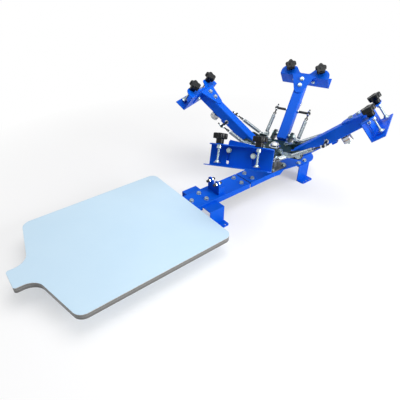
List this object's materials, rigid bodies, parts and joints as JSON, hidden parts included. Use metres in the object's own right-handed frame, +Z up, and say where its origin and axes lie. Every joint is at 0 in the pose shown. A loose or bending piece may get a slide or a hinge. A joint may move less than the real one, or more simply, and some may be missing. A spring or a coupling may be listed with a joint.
{
  "type": "tabletop screen printing press",
  "caption": "Bench-top rotary screen printing press: a base with one print board and a carousel of sprung lifting arms, each with a screen clamp.",
  "frame": {"origin": "on the bench, below the carousel's axis", "axes": "+Z up along the carousel's axis, -Y from the carousel along the base to the board's tab, +X to the right seen from the tab"},
  "size_m": [0.77, 1.3763, 0.4106],
  "materials": {
    "blue_paint": "gloss powder coat",
    "board": "laminated, satin",
    "zinc": "bright zinc plate",
    "chrome": "bright",
    "spring_steel": "bright zinc plate",
    "hub_paint": "dark enamel",
    "black_steel": "black oxide",
    "bearing_steel": "polished",
    "knob_plastic": "satin black",
    "dark_steel": "oiled"
  },
  "bodies": {
    "base": {"front_base": "blue_paint", "rear_base": "blue_paint", "spine_bar": "dark_steel", "front_foot_bracket": "blue_paint", "rear_foot_bracket": "blue_paint", "frame_bolts": "zinc", "gate_bracket": "blue_paint", "gate_stop_bolts": "zinc", "platen": "board", "platen_support": "blue_paint", "platen_screws": "zinc", "spindle_post": "dark_steel", "pivot_nut": "chrome"},
    "carousel": {"hub": "hub_paint", "hinge_bearings": "bearing_steel", "spring_anchors": "zinc"},
    "front_arm": {"front_arm_tube": "blue_paint", "front_head_bracket": "blue_paint", "front_clamp_channel": "blue_paint", "front_arm_hardware": "zinc"},
    "front_tension": {"front_tension_gear": "black_steel", "front_springs": "spring_steel"},
    "front_roller": {"front_roller": "bearing_steel"},
    "front_left_pad": {"front_left_pad": "zinc"},
    "front_left_knob": {"front_left_knob": "knob_plastic"},
    "front_right_pad": {"front_right_pad": "zinc"},
    "front_right_knob": {"front_right_knob": "knob_plastic"},
    "right_arm": {"right_arm_tube": "blue_paint", "right_head_bracket": "blue_paint", "right_clamp_channel": "blue_paint", "right_arm_hardware": "zinc"},
    "right_tension": {"right_tension_gear": "black_steel", "right_springs": "spring_steel"},
    "right_roller": {"right_roller": "bearing_steel"},
    "right_left_pad": {"right_left_pad": "zinc"},
    "right_left_knob": {"right_left_knob": "knob_plastic"},
    "right_right_pad": {"right_right_pad": "zinc"},
    "right_right_knob": {"right_right_knob": "knob_plastic"},
    "back_arm": {"back_arm_tube": "blue_paint", "back_head_bracket": "blue_paint", "back_clamp_channel": "blue_paint", "back_arm_hardware": "zinc"},
    "back_tension": {"back_tension_gear": "black_steel", "back_springs": "spring_steel"},
    "back_roller": {"back_roller": "bearing_steel"},
    "back_left_pad": {"back_left_pad": "zinc"},
    "back_left_knob": {"back_left_knob": "knob_plastic"},
    "back_right_pad": {"back_right_pad": "zinc"},
    "back_right_knob": {"back_right_knob": "knob_plastic"},
    "left_arm": {"left_arm_tube": "blue_paint", "left_head_bracket": "blue_paint", "left_clamp_channel": "blue_paint", "left_arm_hardware": "zinc"},
    "left_tension": {"left_tension_gear": "black_steel", "left_springs": "spring_steel"},
    "left_roller": {"left_roller": "bearing_steel"},
    "left_left_pad": {"left_left_pad": "zinc"},
    "left_left_knob": {"left_left_knob": "knob_plastic"},
    "left_right_pad": {"left_right_pad": "zinc"},
    "left_right_knob": {"left_right_knob": "knob_plastic"}
  },
  "joints": [
    {"name": "carousel_spin", "type": "hinge", "parent": "base", "child": "carousel", "pos_m": [0, 0, 0.145], "axis": [0, 0, 1], "continuous": true},
    {"name": "front_lift", "type": "hinge", "parent": "carousel", "child": "front_arm", "pos_m": [0.04059, -0.09608, 0.163], "axis": [-0.9212, -0.3891, 0], "range_deg": [-29, 17], "stiffness_Nm_per_rad": 3, "springref_deg": 73.74},
    {"name": "front_tension_swing", "type": "hinge", "parent": "front_arm", "child": "front_tension", "pos_m": [0.07946, -0.1881, 0.2138], "axis": [-0.9212, -0.3891, 0], "range_deg": [-2.87, 4.89]},
    {"name": "front_roller_spin", "type": "hinge", "parent": "front_arm", "child": "front_roller", "pos_m": [0.10436, -0.24707, 0.21384], "axis": [-0.1887, 0.4466, 0.8746], "continuous": true},
    {"name": "front_left_pad_travel", "type": "slide", "parent": "front_arm", "child": "front_left_pad", "axis": [-0.3057, 0.3928, 0.8673], "range_m": [0, 0.0251]},
    {"name": "front_left_knob_turn", "type": "hinge", "parent": "front_left_pad", "child": "front_left_knob", "pos_m": [0.19368, -0.30315, 0.31081], "axis": [-0.3057, 0.3928, 0.8673], "range_deg": [0, 7200]},
    {"name": "front_right_pad_travel", "type": "slide", "parent": "front_arm", "child": "front_right_pad", "axis": [-0.3057, 0.3928, 0.8673], "range_m": [0, 0.0251]},
    {"name": "front_right_knob_turn", "type": "hinge", "parent": "front_right_pad", "child": "front_right_knob", "pos_m": [0.08342, -0.35813, 0.29684], "axis": [-0.3057, 0.3928, 0.8673], "range_deg": [0, 7200]},
    {"name": "right_lift", "type": "hinge", "parent": "carousel", "child": "right_arm", "pos_m": [0.09608, 0.04059, 0.163], "axis": [0.3891, -0.9212, 0], "range_deg": [-42.1, 3.9], "stiffness_Nm_per_rad": 3, "springref_deg": 62.56},
    {"name": "right_tension_swing", "type": "hinge", "parent": "right_arm", "child": "right_tension", "pos_m": [0.1751, 0.07397, 0.23512], "axis": [0.3891, -0.9212, 0], "range_deg": [-0.65, 6.89]},
    {"name": "right_roller_spin", "type": "hinge", "parent": "right_arm", "child": "right_roller", "pos_m": [0.23252, 0.09822, 0.24966], "axis": [-0.6176, -0.2609, 0.742], "continuous": true},
    {"name": "right_left_pad_travel", "type": "slide", "parent": "right_arm", "child": "right_left_pad", "axis": [-0.6176, -0.2609, 0.742], "range_m": [0, 0.0251]},
    {"name": "right_left_knob_turn", "type": "hinge", "parent": "right_left_pad", "child": "right_left_knob", "pos_m": [0.27058, 0.1816, 0.35783], "axis": [-0.6176, -0.2609, 0.742], "range_deg": [0, 7200]},
    {"name": "right_right_pad_travel", "type": "slide", "parent": "right_arm", "child": "right_right_pad", "axis": [-0.6176, -0.2609, 0.742], "range_m": [0, 0.0251]},
    {"name": "right_right_knob_turn", "type": "hinge", "parent": "right_right_pad", "child": "right_right_knob", "pos_m": [0.31883, 0.06737, 0.35783], "axis": [-0.6176, -0.2609, 0.742], "range_deg": [0, 7200]},
    {"name": "back_lift", "type": "hinge", "parent": "carousel", "child": "back_arm", "pos_m": [-0.04059, 0.09608, 0.163], "axis": [0.9212, 0.3891, 0], "range_deg": [-43.9, 2.1], "stiffness_Nm_per_rad": 3, "springref_deg": 60.75},
    {"name": "back_tension_swing", "type": "hinge", "parent": "back_arm", "child": "back_tension", "pos_m": [-0.07307, 0.17298, 0.23778], "axis": [0.9212, 0.3891, 0], "range_deg": [-0.36, 7.13]},
    {"name": "back_roller_spin", "type": "hinge", "parent": "back_arm", "child": "back_roller", "pos_m": [-0.09713, 0.22995, 0.25427], "axis": [0.2698, -0.6388, 0.7206], "continuous": true},
    {"name": "back_left_pad_travel", "type": "slide", "parent": "back_arm", "child": "back_left_pad", "axis": [0.2698, -0.6388, 0.7206], "range_m": [0, 0.0251]},
    {"name": "back_left_knob_turn", "type": "hinge", "parent": "back_left_pad", "child": "back_left_knob", "pos_m": [-0.17918, 0.26484, 0.3645], "axis": [0.2698, -0.6388, 0.7206], "range_deg": [0, 7200]},
    {"name": "back_right_pad_travel", "type": "slide", "parent": "back_arm", "child": "back_right_pad", "axis": [0.2698, -0.6388, 0.7206], "range_m": [0, 0.0251]},
    {"name": "back_right_knob_turn", "type": "hinge", "parent": "back_right_pad", "child": "back_right_knob", "pos_m": [-0.06495, 0.31309, 0.3645], "axis": [0.2698, -0.6388, 0.7206], "range_deg": [0, 7200]},
    {"name": "left_lift", "type": "hinge", "parent": "carousel", "child": "left_arm", "pos_m": [-0.09608, -0.04059, 0.163], "axis": [-0.3891, 0.9212, 0], "range_deg": [-36, 10], "stiffness_Nm_per_rad": 3, "springref_deg": 68.21},
    {"name": "left_tension_swing", "type": "hinge", "parent": "left_arm", "child": "left_tension", "pos_m": [-0.18171, -0.07676, 0.2256], "axis": [-0.3891, 0.9212, 0], "range_deg": [-1.68, 6.02]},
    {"name": "left_roller_spin", "type": "hinge", "parent": "left_arm", "child": "left_roller", "pos_m": [-0.24023, -0.10148, 0.23343], "axis": [0.5415, 0.2287, 0.809], "continuous": true},
    {"name": "left_left_pad_travel", "type": "slide", "parent": "left_arm", "child": "left_left_pad", "axis": [0.5415, 0.2287, 0.809], "range_m": [0, 0.0251]},
    {"name": "left_left_knob_turn", "type": "hinge", "parent": "left_left_pad", "child": "left_left_knob", "pos_m": [-0.28852, -0.18918, 0.33381], "axis": [0.5415, 0.2287, 0.809], "range_deg": [0, 7200]},
    {"name": "left_right_pad_travel", "type": "slide", "parent": "left_arm", "child": "left_right_pad", "axis": [0.5415, 0.2287, 0.809], "range_m": [0, 0.0251]},
    {"name": "left_right_knob_turn", "type": "hinge", "parent": "left_right_pad", "child": "left_right_knob", "pos_m": [-0.33678, -0.07495, 0.33381], "axis": [0.5415, 0.2287, 0.809], "range_deg": [0, 7200]}
  ],
  "couplings": [
    {"joint": "front_tension_swing", "follows": "front_lift", "ratio": -0.1681},
    {"joint": "front_left_pad_travel", "follows": "front_left_knob_turn", "m_per_rad": 0.00019894},
    {"joint": "front_right_pad_travel", "follows": "front_right_knob_turn", "m_per_rad": 0.00019894},
    {"joint": "right_tension_swing", "follows": "right_lift", "ratio": -0.1633},
    {"joint": "right_left_pad_travel", "follows": "right_left_knob_turn", "m_per_rad": 0.00019894},
    {"joint": "right_right_pad_travel", "follows": "right_right_knob_turn", "m_per_rad": 0.00019894},
    {"joint": "back_tension_swing", "follows": "back_lift", "ratio": -0.1621},
    {"joint": "back_left_pad_travel", "follows": "back_left_knob_turn", "m_per_rad": 0.00019894},
    {"joint": "back_right_pad_travel", "follows": "back_right_knob_turn", "m_per_rad": 0.00019894},
    {"joint": "left_tension_swing", "follows": "left_lift", "ratio": -0.1667},
    {"joint": "left_left_pad_travel", "follows": "left_left_knob_turn", "m_per_rad": 0.00019894},
    {"joint": "left_right_pad_travel", "follows": "left_right_knob_turn", "m_per_rad": 0.00019894}
  ]
}
